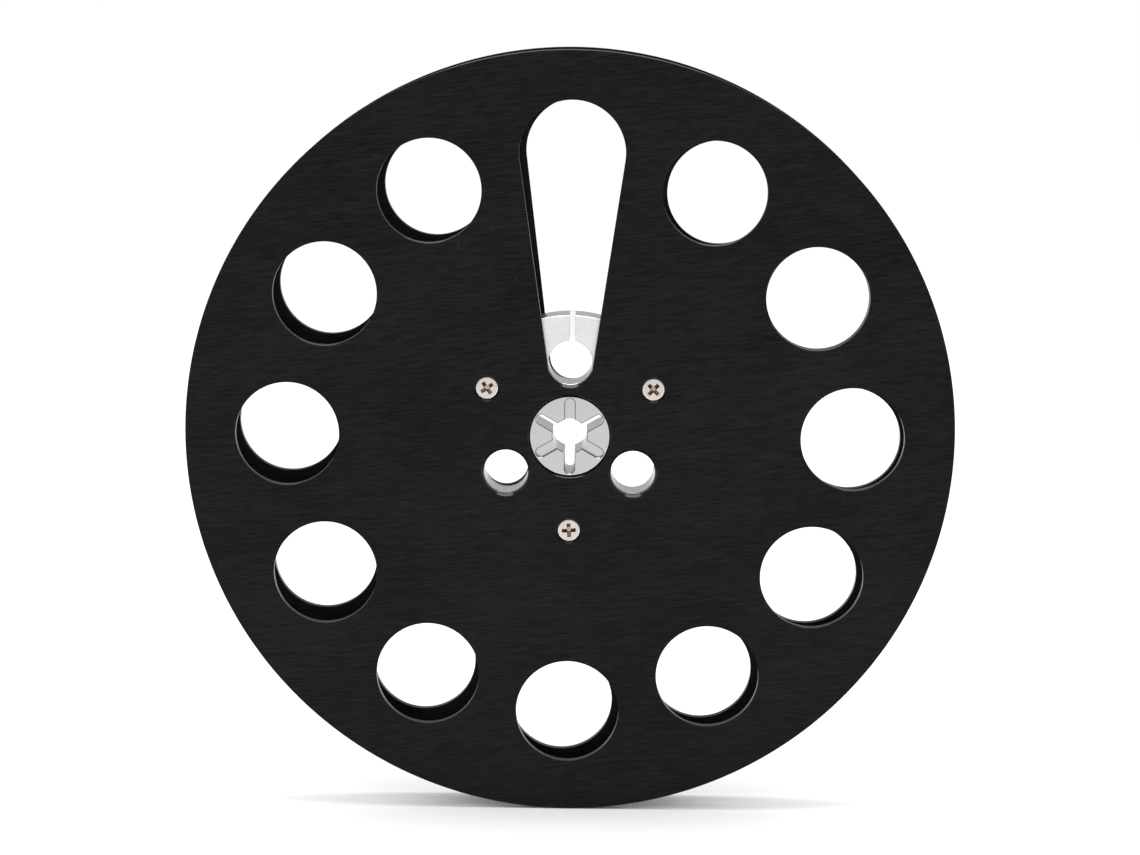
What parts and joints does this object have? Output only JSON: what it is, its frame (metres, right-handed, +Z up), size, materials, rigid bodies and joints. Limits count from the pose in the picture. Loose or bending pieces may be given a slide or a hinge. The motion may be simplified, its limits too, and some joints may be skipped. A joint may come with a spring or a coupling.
{
  "type": "open reel tape reel",
  "caption": "Empty metal reel for quarter-inch recording tape: black flanges with round windows and a threading window, screwed to a silver hub with a slotted spindle bore.",
  "frame": {"origin": "the reel's centre: on the spindle axis, half-way between the flanges", "axes": "+Y along the spindle axis towards the rear face, +Z up through the middle of the threading window, +X to the right seen from the front"},
  "size_m": [0.178, 0.0126, 0.178],
  "materials": {
    "anodised_flange": "black anodised, finely brushed",
    "hub_metal": "clear anodised, satin turned",
    "screw_metal": "nickel plated"
  },
  "bodies": {
    "root": {"front_flange": "anodised_flange", "rear_flange": "anodised_flange", "hub": "hub_metal", "front_screw_1": "screw_metal", "front_screw_2": "screw_metal", "front_screw_3": "screw_metal", "rear_screw_1": "screw_metal", "rear_screw_2": "screw_metal", "rear_screw_3": "screw_metal"}
  },
  "joints": []
}
